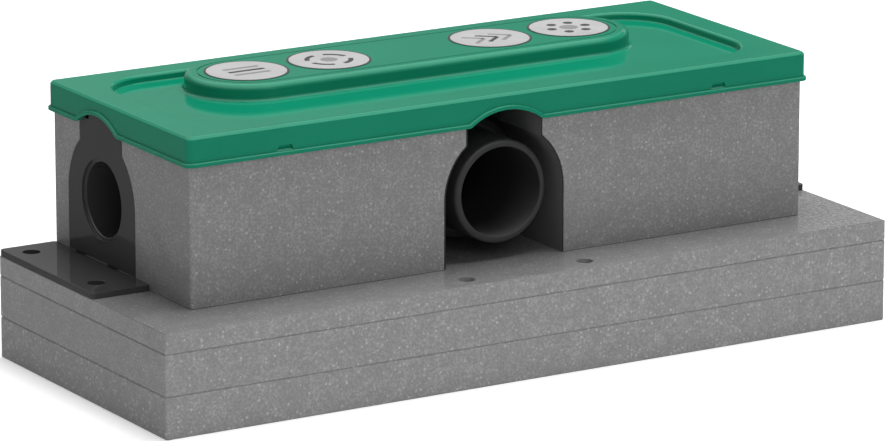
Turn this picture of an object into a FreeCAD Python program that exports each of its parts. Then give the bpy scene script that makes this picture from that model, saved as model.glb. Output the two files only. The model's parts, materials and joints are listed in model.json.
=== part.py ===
import FreeCAD, Part
import math
import os

from FreeCAD import Vector

# Shower drain body: a foam block with keyhole doorways on a foam base, closed by a moulded lid.
# Millimetres. The origin is the centre of the base's underside, X runs along the drain,
# +Y points to the wall and Z up. The block stands flush with the back edge of the base.

# Foam base: two loose spacer slabs under a thinner plate
side_ledge = 30.0
front_ledge = 30.0
spacer_thickness = 20.0
plate_thickness = 10.0
slab_edge_bevel = 0.5

# Fixing holes in the base, one pair in front of each doorway, the side pairs set nearer the wall
fixing_hole_radius = 4.0
fixing_hole_spacing = 65.0
fixing_hole_reach = 19.5
side_hole_shift = 1.85

# Foam block, with the drain's axis set back from its rear face
block_length = 336.0
block_width = 133.0
block_corner_round = 1.2
drain_setback = 47.0
roof_thickness = 7.0
trough_slot_clearance = 1.0

# Keyhole doorways and the lined channel behind them, which leave room for the outlet's socket
neck_width = 42.0
neck_depth = 38.0
socket_room = 2.7
socket_floor_gap = 3.5
liner_wall = 0.6
liner_gap = 0.2
liner_top_gap = 0.3

# Moulded lid
lid_wall = 1.5
skirt_clearance = 0.3
skirt_height = 14.2
lid_edge_round = 1.6
lid_seat_gap = 0.1
border_width = 13.6
pool_depth = 3.8
pool_corner_radius = 25.0
pool_lip_bevel = 0.7
pool_foot_bevel = 0.4
deck_side_clearance = 0.8
plateau_half_run = 89.8
plateau_radius = 29.5
plateau_height = 8.0
plateau_shoulder_round = 3.0
plateau_foot_bevel = 0.5

# Lip bead round the skirt, and the arches that lift it over the doorways
bead_height = 2.1
bead_reach = 1.15
bead_bevel = 0.5
arch_rise = 6.6
arch_half_span = 20.5
arch_foot_radius = 2.6

# Clip dents in the long skirts, and the upright slots they run in
dent_offset = 119.0
dent_base_width = 8.8
dent_top_width = 6.6
dent_height = 2.4
dent_depth = 0.9
dent_lift = 0.2
clip_slot_clearance = 0.4

# Round labels, and the fine groove that frames them
label_radius = 20.3
label_thickness = 0.3
label_gap = 4.3
groove_gap = 2.7
groove_width = 0.8
groove_depth = 0.35

# Closing brackets of the left and right doorways
bracket_thickness = 3.0
bracket_clearance = 0.4
bracket_foot_margin = 0.1
bracket_foot_corner = 2.0
bracket_shoulder_gap = 10.1
bracket_tab_gap = 5.2
bracket_tab_width = 23.6
bracket_hole_clearance = 0.2
collar_mouth_radius = 19.6
collar_mouth_depth = 1.2
collar_bore_radius = 17.8
collar_wall = 2.4
collar_length = 20.0
collar_edge_bevel = 0.5
tongue_width = 21.0
tongue_offset = 5.5
relief_slot_length = 10.5
relief_slot_width = 1.5

# Inlet trough, which hangs by its flange from the block's deck
flange_clearance = 0.5
flange_thickness = 2.0
flange_head_gap = 1.0
trough_radius = 18.5
trough_wall = 1.8
trough_floor_drop = 9.0
trough_fall = 2.0
trough_collar_gap = 1.5
trough_collar_wall = 2.0
trough_collar_drop = 4.6
spigot_wall = 2.0
spigot_drop = 25.0
spigot_ledge_width = 2.5
spigot_ledge_thickness = 1.6

# Trap pot with the outlet socket
pot_margin = 5.0
pot_room = 1.2
pot_wall = 2.0
pot_rim_drop = 12.0
pot_floor_lift = 3.0
socket_wall = 2.2
socket_length = 48.5
socket_stop = 31.5
socket_clearance = 0.3
seal_groove_depth = 2.4
seal_groove_width = 5.0
seal_groove_setback = 2.5
socket_bead_wall = 1.8

# Outlet pipe and the rubber rings
pipe_radius = 25.0
pipe_wall = 3.4
pipe_setback = 3.0
pipe_edge_bevel = 1.4
pipe_stop_width = 2.0
pipe_stop_height = 1.4
ring_clearance = 0.05
ring_side_clearance = 0.3
pot_seal_width = 2.0
pot_seal_height = 3.0
pot_seal_depth = 1.0

# Removable trap and hair sieve
cup_clearance = 1.0
cup_wall = 1.4
cup_top_gap = 6.0
trap_seal_thickness = 1.4
trap_seal_width = 1.9
trap_flange_clearance = 0.4
trap_flange_thickness = 2.0
dip_tube_radius = 14.0
dip_tube_wall = 1.4
dip_tube_gap = 6.0
sieve_clearance = 0.6
sieve_wall = 1.2
sieve_height = 7.0
sieve_slot_count = 12
sieve_slot_width = 3.0
sieve_slot_start = 7.5
sieve_slot_margin = 2.2
sieve_knob_radius = 4.0
sieve_knob_height = 9.0

# Tools that cut through a face reach this far past it, and nearer places than this are the same
overcut = 2.0
same_place = 1e-4

# Round sizes that follow from the pipe: socket, doorways, pot and what hangs in it
socket_bore = pipe_radius + socket_clearance
groove_radius = socket_bore + seal_groove_depth
socket_bead_radius = groove_radius + socket_bead_wall
liner_inset = liner_gap + liner_wall
door_half = socket_bead_radius + socket_room + liner_inset
pot_radius = pipe_radius + pot_margin
pot_bore = pot_radius - pot_wall
well_radius = pot_radius + pot_room + liner_inset
spigot_radius = pot_bore - pot_seal_width
spigot_bore = spigot_radius - spigot_wall
cup_radius = spigot_bore - spigot_ledge_width - cup_clearance
trough_collar_radius = plateau_radius - lid_wall - trough_collar_gap

# Places on the plan
base_length = block_length + 2 * side_ledge
base_width = block_width + front_ledge
end_x = block_length / 2
back_y = base_width / 2
front_y = back_y - block_width
block_mid_y = (back_y + front_y) / 2
drain_y = back_y - drain_setback
skirt_offset = skirt_clearance + lid_wall
skirt_corner = block_corner_round + skirt_offset
pool_length = block_length + 2 * (skirt_offset - border_width)
pool_width = block_width + 2 * (skirt_offset - border_width)
deck_spread = lid_wall + deck_side_clearance
deck_half_length = pool_length / 2 + deck_spread
deck_half_width = pool_width / 2 + deck_spread
flange_radius = block_mid_y + deck_half_width - drain_y - flange_clearance
label_pitch = 2 * label_radius + label_gap
socket_mouth_y = drain_y - socket_length
groove_back_y = socket_mouth_y + seal_groove_setback + seal_groove_width

# Heights, from the base up
plate_top = 2 * spacer_thickness + plate_thickness
axis_z = plate_top + socket_bead_radius + socket_floor_gap
deck_z = axis_z + door_half + roof_thickness
flange_top = deck_z + flange_thickness
pool_floor = flange_top + flange_head_gap + lid_wall
lid_top = pool_floor + pool_depth
block_top = lid_top - lid_wall - lid_seat_gap
skirt_bottom = lid_top - skirt_height
plateau_top = pool_floor + plateau_height
pot_top = deck_z - pot_rim_drop
pot_floor = plate_top + pot_floor_lift + pot_wall
spigot_bottom = deck_z - spigot_drop
cup_top = spigot_bottom - cup_top_gap
ledge_top = spigot_bottom + spigot_ledge_thickness
trap_flange_z = ledge_top + trap_seal_thickness
sieve_z = trap_flange_z + trap_flange_thickness


def box(x0, x1, y0, y1, z0, z1):
    return Part.makeBox(x1 - x0, y1 - y0, z1 - z0, Vector(x0, y0, z0))


def upright_cylinder(radius, z0, z1, x=0.0, y=drain_y):
    return Part.makeCylinder(radius, z1 - z0, Vector(x, y, z0))


def pipe_solid(radius, y0, y1):
    # A round bar along the outlet, between two places on Y.
    return Part.makeCylinder(radius, y1 - y0, Vector(0, y0, axis_z), Vector(0, 1, 0))


def bar_along_x(radius, x0, x1):
    return Part.makeCylinder(radius, x1 - x0, Vector(x0, drain_y, axis_z), Vector(1, 0, 0))


def fuse_all(shapes):
    whole = shapes[0].multiFuse(shapes[1:])
    return whole.removeSplitter()


def is_upright(edge):
    return edge.BoundBox.XLength + edge.BoundBox.YLength < same_place


def upright_edges(shape):
    return [e for e in shape.Edges if is_upright(e)]


def edges_at(shape, z):
    # The edges that lie in one level plane.
    level = [e for e in shape.Edges if e.BoundBox.ZLength < same_place]
    return [e for e in level if abs(e.BoundBox.ZMin - z) < same_place]


def edges_touching(shape, z, other):
    return [e for e in edges_at(shape, z) if e.distToShape(other)[0] < same_place]


def rounded_block(length, width, corner, z0, z1):
    near = block_mid_y - width / 2
    slab = box(-length / 2, length / 2, near, near + width, z0, z1)
    return slab.makeFillet(corner, upright_edges(slab))


def stadium(radius, z0, z1):
    # A long round-ended prism over the drain axis.
    run = plateau_half_run
    near, far = drain_y - radius, drain_y + radius
    outline = Part.Wire([
        Part.makeLine(Vector(-run, near, z0), Vector(run, near, z0)),
        Part.Arc(Vector(run, near, z0), Vector(run + radius, drain_y, z0), Vector(run, far, z0)).toShape(),
        Part.makeLine(Vector(run, far, z0), Vector(-run, far, z0)),
        Part.Arc(Vector(-run, far, z0), Vector(-run - radius, drain_y, z0), Vector(-run, near, z0)).toShape(),
    ])
    return Part.Face(outline).extrude(Vector(0, 0, z1 - z0))


def keyhole(place, inset, bottom, top):
    # A doorway's outline: straight jambs, a round arch about the pipe axis and a narrow neck on top.
    half = door_half - inset
    neck = neck_width / 2 - inset
    neck_angle = math.acos(neck / half)
    neck_z = axis_z + half * math.sin(neck_angle)
    bend_s = half * math.cos(neck_angle / 2)
    bend_z = axis_z + half * math.sin(neck_angle / 2)

    def arch(side):
        return Part.Arc(place(side * half, axis_z), place(side * bend_s, bend_z),
                        place(side * neck, neck_z)).toShape()

    def line(s0, z0, s1, z1):
        return Part.makeLine(place(s0, z0), place(s1, z1))

    return Part.Face(Part.Wire(Part.__sortEdges__([
        line(-half, bottom, half, bottom),
        line(half, bottom, half, axis_z),
        arch(1),
        line(neck, neck_z, neck, top),
        line(neck, top, -neck, top),
        line(-neck, top, -neck, neck_z),
        arch(-1),
        line(-half, axis_z, -half, bottom),
    ])))


def tunnel(place, inset, bottom):
    # The channel behind a doorway: straight walls under a round vault.
    half = door_half - inset
    return Part.Face(Part.Wire([
        Part.makeLine(place(-half, bottom), place(half, bottom)),
        Part.makeLine(place(half, bottom), place(half, axis_z)),
        Part.Arc(place(half, axis_z), place(0.0, axis_z + half), place(-half, axis_z)).toShape(),
        Part.makeLine(place(-half, axis_z), place(-half, bottom)),
    ]))


def across(x):
    # Places an outline in the plane of an end face.
    return lambda s, z: Vector(x, drain_y + s, z)


def along(y):
    # Places an outline in the plane of the front face.
    return lambda s, z: Vector(s, y, z)


def channel_space(inset, half_length, mouth_y, bottom, top):
    # A T-shaped channel, through the block along X and out to the front, with a round well at the drain.
    # Each doorway's neck is open to the top and runs some way in.
    side_run = Vector(half_length - end_x + neck_depth - inset, 0, 0)
    front_run = Vector(0, front_y + neck_depth - inset - mouth_y, 0)
    return fuse_all([
        tunnel(across(-half_length), inset, bottom).extrude(Vector(2 * half_length, 0, 0)),
        tunnel(along(mouth_y), inset, bottom).extrude(Vector(0, drain_y - mouth_y, 0)),
        upright_cylinder(well_radius - inset, bottom, top),
        keyhole(across(-half_length), inset, bottom, top).extrude(side_run),
        keyhole(across(half_length), inset, bottom, top).extrude(-side_run),
        keyhole(along(mouth_y), inset, bottom, top).extrude(front_run),
    ])


def trough_slot():
    return stadium(trough_radius + trough_slot_clearance, axis_z, deck_z + overcut)


def deck_space():
    # The sunken deck of the block, which clears the underside of the lid's pool.
    return rounded_block(2 * deck_half_length, 2 * deck_half_width, pool_corner_radius + deck_spread,
                         deck_z, block_top + overcut)


def fixing_holes(radius, z0, z1):
    half = fixing_hole_spacing / 2
    reach_x = end_x + fixing_hole_reach
    reach_y = front_y - fixing_hole_reach
    side_mid = drain_y + side_hole_shift
    places = [(side * reach_x, side_mid + s) for side in (-1, 1) for s in (-half, half)]
    places += [(s, reach_y) for s in (-half, half)]
    return [upright_cylinder(radius, z0, z1, x, y) for x, y in places]


def base_slab(z0, thickness):
    half_length = base_length / 2
    half_width = base_width / 2
    slab = box(-half_length, half_length, -half_width, half_width, z0, z0 + thickness)
    slab = slab.makeChamfer(slab_edge_bevel, slab.Edges)
    return slab.cut(fixing_holes(fixing_hole_radius, z0 - overcut, z0 + thickness + overcut))


def dent_prism(x, y, depth):
    # A clip dent seen from the front, a low trapezium just above the lip bead.
    z0 = skirt_bottom + bead_height + dent_lift
    z1 = z0 + dent_height
    half_base = dent_base_width / 2
    half_top = dent_top_width / 2
    corners = [(-half_base, z0), (half_base, z0), (half_top, z1), (-half_top, z1)]
    ring = [Vector(x + s, y, z) for s, z in corners + corners[:1]]
    return Part.Face(Part.makePolygon(ring)).extrude(Vector(0, depth, 0))


def foam_block():
    block = rounded_block(block_length, block_width, block_corner_round, plate_top, block_top)
    block = block.cut(channel_space(0.0, end_x + overcut, front_y - overcut,
                                    plate_top - overcut, block_top + overcut))
    block = block.cut([deck_space(), trough_slot()])
    slot_half = dent_base_width / 2 + clip_slot_clearance
    slot_depth = dent_depth - skirt_clearance + clip_slot_clearance
    slot_z = skirt_bottom + bead_height + dent_lift - clip_slot_clearance
    for x in (-dent_offset, dent_offset):
        for y0, y1 in ((front_y - overcut, front_y + slot_depth), (back_y - slot_depth, back_y + overcut)):
            block = block.cut(box(x - slot_half, x + slot_half, y0, y1, slot_z, block_top + overcut))
    return block


def channel_liner():
    half_length = end_x - bracket_thickness - bracket_clearance
    top = block_top - liner_top_gap
    outer = channel_space(liner_gap, half_length, front_y, plate_top, top)
    inner = channel_space(liner_inset, half_length + overcut, front_y - overcut,
                          plate_top - overcut, top + overcut)
    return outer.cut([inner, deck_space(), trough_slot()])


def arch_prism(offset, place, sweep):
    # The arched gap in the skirt's lower edge: a wide crown arc, blended into the edge by two foot arcs.
    reach = (arch_half_span ** 2 + arch_rise ** 2) / (2 * arch_rise)
    crown_radius = reach - arch_foot_radius + offset
    foot_radius = arch_foot_radius - offset
    crown_z = skirt_bottom + arch_rise + arch_foot_radius - reach
    foot_z = skirt_bottom + arch_foot_radius
    turn = math.asin(arch_half_span / reach)

    def crown_point(angle):
        return place(crown_radius * math.sin(angle), crown_z + crown_radius * math.cos(angle))

    def foot_point(side, angle):
        return place(side * (arch_half_span - foot_radius * math.sin(angle)),
                     foot_z - foot_radius * math.cos(angle))

    low_left = place(-arch_half_span, skirt_bottom - overcut)
    low_right = place(arch_half_span, skirt_bottom - overcut)
    outline = Part.Wire([
        Part.makeLine(low_right, foot_point(1, 0.0)),
        Part.Arc(foot_point(1, 0.0), foot_point(1, turn / 2), foot_point(1, turn)).toShape(),
        Part.Arc(crown_point(turn), crown_point(0.0), crown_point(-turn)).toShape(),
        Part.Arc(foot_point(-1, turn), foot_point(-1, turn / 2), foot_point(-1, 0.0)).toShape(),
        Part.makeLine(foot_point(-1, 0.0), low_left),
        Part.makeLine(low_left, low_right),
    ])
    return Part.Face(outline).extrude(sweep)


def arch_prisms(offset):
    # One arch over each doorway: left, right and front.
    reach = skirt_offset + bead_reach + overcut
    depth = reach + lid_edge_round
    return [
        arch_prism(offset, across(-end_x - reach), Vector(depth, 0, 0)),
        arch_prism(offset, across(end_x + reach), Vector(-depth, 0, 0)),
        arch_prism(offset, along(front_y - reach), Vector(0, depth, 0)),
    ]


def lip_bead():
    # A band round the foot of the skirt, which climbs over the arches at an even height.
    length = block_length + 2 * skirt_offset
    width = block_width + 2 * skirt_offset
    tall = skirt_bottom + arch_rise + 2 * bead_height
    core = rounded_block(length, width, skirt_corner, skirt_bottom - overcut, tall + overcut)
    ring = rounded_block(length + 2 * bead_reach, width + 2 * bead_reach, skirt_corner + bead_reach,
                         skirt_bottom, tall)
    low = box(-length, length, -width, width, skirt_bottom, skirt_bottom + bead_height)
    band = ring.cut(core).common(fuse_all([low] + arch_prisms(bead_height)))
    band = band.cut(arch_prisms(0.0))
    outer = [e for e in band.Edges if e.distToShape(core)[0] > bead_reach / 2]
    return band.makeChamfer(bead_bevel, [e for e in outer if not is_upright(e)])


def lid_outside():
    length = block_length + 2 * skirt_offset
    width = block_width + 2 * skirt_offset
    body = rounded_block(length, width, skirt_corner, skirt_bottom, lid_top)
    body = body.makeFillet(lid_edge_round, edges_at(body, lid_top))
    pool = rounded_block(pool_length, pool_width, pool_corner_radius, pool_floor, lid_top + overcut)
    pool = pool.makeChamfer(pool_foot_bevel, edges_at(pool, pool_floor))
    body = body.cut(pool)
    body = body.makeChamfer(pool_lip_bevel, edges_touching(body, lid_top, pool))
    plateau = stadium(plateau_radius, pool_floor - lid_wall / 2, plateau_top)
    plateau = plateau.makeFillet(plateau_shoulder_round, edges_at(plateau, plateau_top))
    body = fuse_all([body, plateau])
    body = body.makeChamfer(plateau_foot_bevel, edges_touching(body, pool_floor, plateau))
    groove_inner = label_radius + groove_gap
    groove = stadium(groove_inner + groove_width, plateau_top - groove_depth, plateau_top + overcut)
    groove = groove.cut(stadium(groove_inner, plateau_top - overcut, plateau_top + overcut))
    return body.cut(groove)


def lid_inside():
    # The hollow under the lid, one wall thickness inside it all over.
    ceiling = lid_top - lid_wall
    hollow = rounded_block(block_length + 2 * skirt_clearance, block_width + 2 * skirt_clearance,
                           skirt_corner - lid_wall, skirt_bottom - overcut, ceiling)
    pool_under = pool_floor - lid_wall
    sunk = rounded_block(pool_length + 2 * lid_wall, pool_width + 2 * lid_wall,
                         pool_corner_radius + lid_wall, pool_under, ceiling + overcut)
    rise = stadium(plateau_radius - lid_wall, pool_under - overcut, plateau_top - lid_wall)
    rise = rise.makeChamfer(plateau_shoulder_round - lid_wall, edges_at(rise, plateau_top - lid_wall))
    return fuse_all([hollow.cut(sunk), rise])


def protective_lid():
    lid = lid_outside().cut(lid_inside())
    lid = lid.cut(arch_prisms(0.0))
    lid = fuse_all([lid, lip_bead()])
    inner_front = front_y - skirt_clearance
    inner_back = back_y + skirt_clearance
    outer_front = front_y - skirt_offset
    outer_back = back_y + skirt_offset
    for x in (-dent_offset, dent_offset):
        lid = fuse_all([lid, dent_prism(x, inner_front, dent_depth),
                        dent_prism(x, inner_back - dent_depth, dent_depth)])
        lid = lid.cut(dent_prism(x, outer_front - overcut, dent_depth + overcut))
        lid = lid.cut(dent_prism(x, outer_back - dent_depth, dent_depth + overcut))
    return lid


def label(x):
    return upright_cylinder(label_radius, plateau_top, plateau_top + label_thickness, x)


def left_bracket():
    # Foot plate on the ledge, tongue into the doorway, keyhole upright with a tab on top,
    # and a collar round the hole.
    face_x = -end_x
    back_x = face_x + bracket_thickness
    foot_top = plate_top + bracket_thickness
    tongue_half = door_half - bracket_clearance
    foot_half = drain_setback - bracket_foot_margin
    foot = box(-base_length / 2, -end_x, drain_y - foot_half, drain_y + foot_half, plate_top, foot_top)
    foot = foot.makeFillet(bracket_foot_corner, upright_edges(foot))
    tongue = box(-end_x - bracket_foot_corner, back_x, drain_y - tongue_half, drain_y + tongue_half,
                 plate_top, foot_top)
    shoulder_z = block_top - bracket_shoulder_gap
    tab_half = bracket_tab_width / 2
    upright = keyhole(across(face_x), bracket_clearance, plate_top, shoulder_z)
    upright = upright.extrude(Vector(bracket_thickness, 0, 0))
    tab = box(face_x, back_x, drain_y - tab_half, drain_y + tab_half, axis_z, block_top - bracket_tab_gap)
    collar = bar_along_x(collar_bore_radius + collar_wall, back_x, back_x + collar_length)
    bracket = fuse_all([foot, tongue, upright, tab, collar])
    step_x = face_x + collar_mouth_depth
    bracket = bracket.cut(bar_along_x(collar_mouth_radius, face_x - overcut, step_x))
    bracket = bracket.cut(bar_along_x(collar_bore_radius, face_x, back_x + collar_length + overcut))
    rounds = [e for e in bracket.Edges if isinstance(e.Curve, Part.Circle)]
    rims = [e for e in rounds if abs(e.Curve.Radius - collar_bore_radius) < same_place]
    rims = [e for e in rims if e.BoundBox.XMax < step_x + same_place]
    bracket = bracket.makeChamfer(collar_edge_bevel, rims)
    for side in (-1, 1):
        slot_mid = drain_y + tongue_offset + side * (tongue_width + relief_slot_length) / 2
        slot_y = slot_mid - relief_slot_length / 2
        bracket = bracket.cut(box(face_x - relief_slot_width, face_x, slot_y, slot_y + relief_slot_length,
                                  plate_top - overcut, foot_top + overcut))
    holes = fixing_holes(fixing_hole_radius + bracket_hole_clearance, plate_top - overcut, foot_top + overcut)
    return bracket.cut(holes)


def right_bracket():
    return left_bracket().mirror(Vector(0, 0, 0), Vector(1, 0, 0))


def sloped_space(radius, low_z, top):
    # A trough's body: a stadium whose floor falls from both ends to the drain.
    half = plateau_half_run + radius
    near = drain_y - radius - overcut
    ring = [(-half, low_z + trough_fall), (0.0, low_z), (half, low_z + trough_fall), (half, top), (-half, top)]
    outline = Part.makePolygon([Vector(x, near, z) for x, z in ring + ring[:1]])
    wedge = Part.Face(outline).extrude(Vector(0, 2 * (radius + overcut), 0))
    return wedge.common(stadium(radius, low_z - overcut, top))


def drain_trough():
    collar_top = plateau_top - lid_wall - trough_collar_drop
    floor_z = deck_z - trough_floor_drop
    trough = fuse_all([
        stadium(flange_radius, deck_z, flange_top),
        stadium(trough_collar_radius, deck_z, collar_top),
        sloped_space(trough_radius, floor_z, flange_top),
        upright_cylinder(spigot_radius, spigot_bottom, flange_top),
    ])
    trough = trough.cut(stadium(trough_collar_radius - trough_collar_wall, flange_top, collar_top + overcut))
    trough = trough.cut(sloped_space(trough_radius - trough_wall, floor_z + trough_wall, flange_top + overcut))
    trough = trough.cut(upright_cylinder(spigot_bore, ledge_top, flange_top + overcut))
    return trough.cut(upright_cylinder(spigot_bore - spigot_ledge_width, spigot_bottom - overcut, flange_top))


def trap_pot():
    # A round pot on a foot ring, with a pipe socket that ends in a bead round its seal groove.
    pot = fuse_all([
        upright_cylinder(pot_radius, plate_top, pot_top),
        pipe_solid(socket_bore + socket_wall, socket_mouth_y, drain_y),
        pipe_solid(socket_bead_radius, socket_mouth_y, groove_back_y + socket_bead_wall),
    ])
    pot = pot.cut(upright_cylinder(pot_bore, pot_floor, pot_top + overcut))
    pot = pot.cut(upright_cylinder(pot_bore, plate_top - overcut, plate_top + pot_floor_lift))
    pot = pot.cut(pipe_solid(pipe_radius - pipe_wall, socket_mouth_y, drain_y))
    pot = pot.cut(pipe_solid(socket_bore, socket_mouth_y - overcut, drain_y - socket_stop))
    return pot.cut(pipe_solid(groove_radius, groove_back_y - seal_groove_width, groove_back_y))


def outlet_pipe():
    # A plain spigot with a stop ring that seats against the mouth of the socket.
    mouth_y = front_y + pipe_setback
    pipe = fuse_all([
        pipe_solid(pipe_radius, mouth_y, drain_y - socket_stop),
        pipe_solid(pipe_radius + pipe_stop_height, socket_mouth_y - pipe_stop_width, socket_mouth_y),
    ])
    front_edges = [e for e in pipe.Edges if e.BoundBox.YMax < mouth_y + same_place]
    pipe = pipe.makeChamfer(pipe_edge_bevel, front_edges)
    return pipe.cut(pipe_solid(pipe_radius - pipe_wall, mouth_y - overcut, drain_y))


def outlet_seal():
    y0 = groove_back_y - seal_groove_width + ring_side_clearance
    y1 = groove_back_y - ring_side_clearance
    ring = pipe_solid(groove_radius - ring_clearance, y0, y1)
    return ring.cut(pipe_solid(pipe_radius + ring_clearance, y0 - overcut, y1 + overcut))


def pot_seal():
    z1 = pot_top - pot_seal_depth
    z0 = z1 - pot_seal_height
    ring = upright_cylinder(pot_bore - ring_clearance, z0, z1)
    return ring.cut(upright_cylinder(spigot_radius + ring_clearance, z0 - overcut, z1 + overcut))


def trap_cup():
    cup = upright_cylinder(cup_radius, pot_floor, cup_top)
    return cup.cut(upright_cylinder(cup_radius - cup_wall, pot_floor + cup_wall, cup_top + overcut))


def trap_seal():
    outer = spigot_bore - trap_flange_clearance
    ring = upright_cylinder(outer, ledge_top, trap_flange_z)
    return ring.cut(upright_cylinder(outer - trap_seal_width, ledge_top - overcut, trap_flange_z + overcut))


def trap_tube():
    foot_z = pot_floor + cup_wall + dip_tube_gap
    tube = fuse_all([
        upright_cylinder(spigot_bore - trap_flange_clearance, trap_flange_z, sieve_z),
        upright_cylinder(dip_tube_radius, foot_z, sieve_z),
    ])
    return tube.cut(upright_cylinder(dip_tube_radius - dip_tube_wall, foot_z - overcut, sieve_z + overcut))


def hair_sieve():
    # A shallow dish with a ring of radial slots and a pull knob in the middle.
    outer = spigot_bore - sieve_clearance
    inner = outer - sieve_wall
    floor_top = sieve_z + sieve_wall
    dish = upright_cylinder(outer, sieve_z, sieve_z + sieve_height)
    dish = dish.cut(upright_cylinder(inner, floor_top, sieve_z + sieve_height + overcut))
    dish = fuse_all([dish, upright_cylinder(sieve_knob_radius, sieve_z, sieve_z + sieve_knob_height)])
    half = sieve_slot_width / 2
    slots = []
    for turn in range(sieve_slot_count):
        slot = box(sieve_slot_start, inner - sieve_slot_margin, drain_y - half, drain_y + half,
                   sieve_z - overcut, floor_top + overcut)
        slot.rotate(Vector(0, drain_y, 0), Vector(0, 0, 1), turn * 360.0 / sieve_slot_count)
        slots.append(slot)
    return dish.cut(slots)


inner_label = plateau_half_run - label_pitch
pieces = {
    "lower_spacer": base_slab(0.0, spacer_thickness),
    "upper_spacer": base_slab(spacer_thickness, spacer_thickness),
    "base_plate": base_slab(2 * spacer_thickness, plate_thickness),
    "foam_block": foam_block(),
    "channel_liner": channel_liner(),
    "drain_trough": drain_trough(),
    "trap_pot": trap_pot(),
    "pot_seal": pot_seal(),
    "outlet_pipe": outlet_pipe(),
    "outlet_seal": outlet_seal(),
    "trap_cup": trap_cup(),
    "trap_seal": trap_seal(),
    "trap_tube": trap_tube(),
    "hair_sieve": hair_sieve(),
    "left_bracket": left_bracket(),
    "right_bracket": right_bracket(),
    "protective_lid": protective_lid(),
    "label_outer_left": label(-plateau_half_run),
    "label_inner_left": label(-inner_label),
    "label_inner_right": label(inner_label),
    "label_outer_right": label(plateau_half_run),
}

os.makedirs("parts", exist_ok=True)
for name, shape in pieces.items():
    shape.exportStep("parts/" + name + ".step")
    print(name, "solids", len(shape.Solids), "valid", shape.isValid(), "volume", round(shape.Volume, 1))
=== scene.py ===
import json
import math

import bmesh
import bpy
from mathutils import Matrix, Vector

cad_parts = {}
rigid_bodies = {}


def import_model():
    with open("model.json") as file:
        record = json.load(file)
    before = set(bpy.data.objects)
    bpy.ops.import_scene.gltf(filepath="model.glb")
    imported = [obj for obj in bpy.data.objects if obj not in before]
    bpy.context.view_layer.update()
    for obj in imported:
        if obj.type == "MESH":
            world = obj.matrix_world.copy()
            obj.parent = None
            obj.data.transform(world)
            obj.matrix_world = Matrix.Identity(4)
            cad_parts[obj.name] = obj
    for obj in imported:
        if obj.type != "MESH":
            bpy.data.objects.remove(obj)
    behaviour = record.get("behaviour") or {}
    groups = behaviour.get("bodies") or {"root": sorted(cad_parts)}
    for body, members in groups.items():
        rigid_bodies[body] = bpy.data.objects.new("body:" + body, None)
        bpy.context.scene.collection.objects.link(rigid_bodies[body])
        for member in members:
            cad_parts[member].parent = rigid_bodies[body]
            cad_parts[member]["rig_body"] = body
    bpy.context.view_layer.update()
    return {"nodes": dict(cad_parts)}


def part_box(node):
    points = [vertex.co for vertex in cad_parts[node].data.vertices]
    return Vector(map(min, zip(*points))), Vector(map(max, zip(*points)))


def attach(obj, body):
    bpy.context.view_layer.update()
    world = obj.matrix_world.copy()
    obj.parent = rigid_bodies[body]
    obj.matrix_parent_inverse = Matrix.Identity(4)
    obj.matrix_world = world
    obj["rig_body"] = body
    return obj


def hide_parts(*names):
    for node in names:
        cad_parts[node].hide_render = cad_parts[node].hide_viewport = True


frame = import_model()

# Foam base: two loose spacer slabs under a thinner plate, stacked one on the other.
# Grey bead foam with pale flecks all through it. The plate is moulded and the spacers are cut from a board.
# The plate's upward faces get painted shade, and the spacers' upward faces get painted light.
mm = 0.001
nodes = frame["nodes"]
foam_grey = (0.262, 0.262, 0.262, 1.0)
foam_fleck = (0.49, 0.49, 0.49, 1.0)
# Painted shade on the upward faces of the plate and block, and painted light on the spacers' upward faces.
painted_top_shade = 0.65
spacer_painted_top_light = 1.2
pattern_step = Vector((0.37, 0.0, 0.11))
unit_span = (0.0, 1.0)
unit_fall = (1.0, 0.0)


def place(tree, kind, inputs, **settings):
    node = tree.nodes.new(kind)
    for name, value in settings.items():
        setattr(node, name, value)
    for name, value in inputs.items():
        if isinstance(value, bpy.types.NodeSocket):
            tree.links.new(value, node.inputs[name])
        else:
            node.inputs[name].default_value = value
    return node


def remap(tree, value, source=unit_span, target=unit_span, **settings):
    # Brings a value from one span onto another and holds it at both ends.
    spans = {"Value": value, "From Min": source[0], "From Max": source[1],
             "To Min": target[0], "To Max": target[1]}
    return place(tree, "ShaderNodeMapRange", spans, **settings).outputs["Result"]


def combine(tree, operation, *values):
    return place(tree, "ShaderNodeMath", dict(enumerate(values)), operation=operation).outputs[0]


def noise(tree, where, size, detail):
    inputs = {"Vector": where, "Scale": 1 / size, "Detail": detail}
    return place(tree, "ShaderNodeTexNoise", inputs).outputs["Fac"]


def shaded(tree, colour, shade):
    inputs = {0: colour, "Scale": shade}
    return place(tree, "ShaderNodeVectorMath", inputs, operation="SCALE").outputs[0]


def facing(tree, axis):
    normal = place(tree, "ShaderNodeNewGeometry", {}).outputs["Normal"]
    return place(tree, "ShaderNodeSeparateXYZ", {"Vector": normal}).outputs[axis]


def new_group(name, given, results):
    group = bpy.data.node_groups.new(name, "ShaderNodeTree")
    for label, kind in given:
        group.interface.new_socket(label, in_out="INPUT", socket_type=kind)
    for label, kind in results:
        group.interface.new_socket(label, in_out="OUTPUT", socket_type=kind)
    return group, group.nodes.new("NodeGroupInput"), group.nodes.new("NodeGroupOutput")


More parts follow.
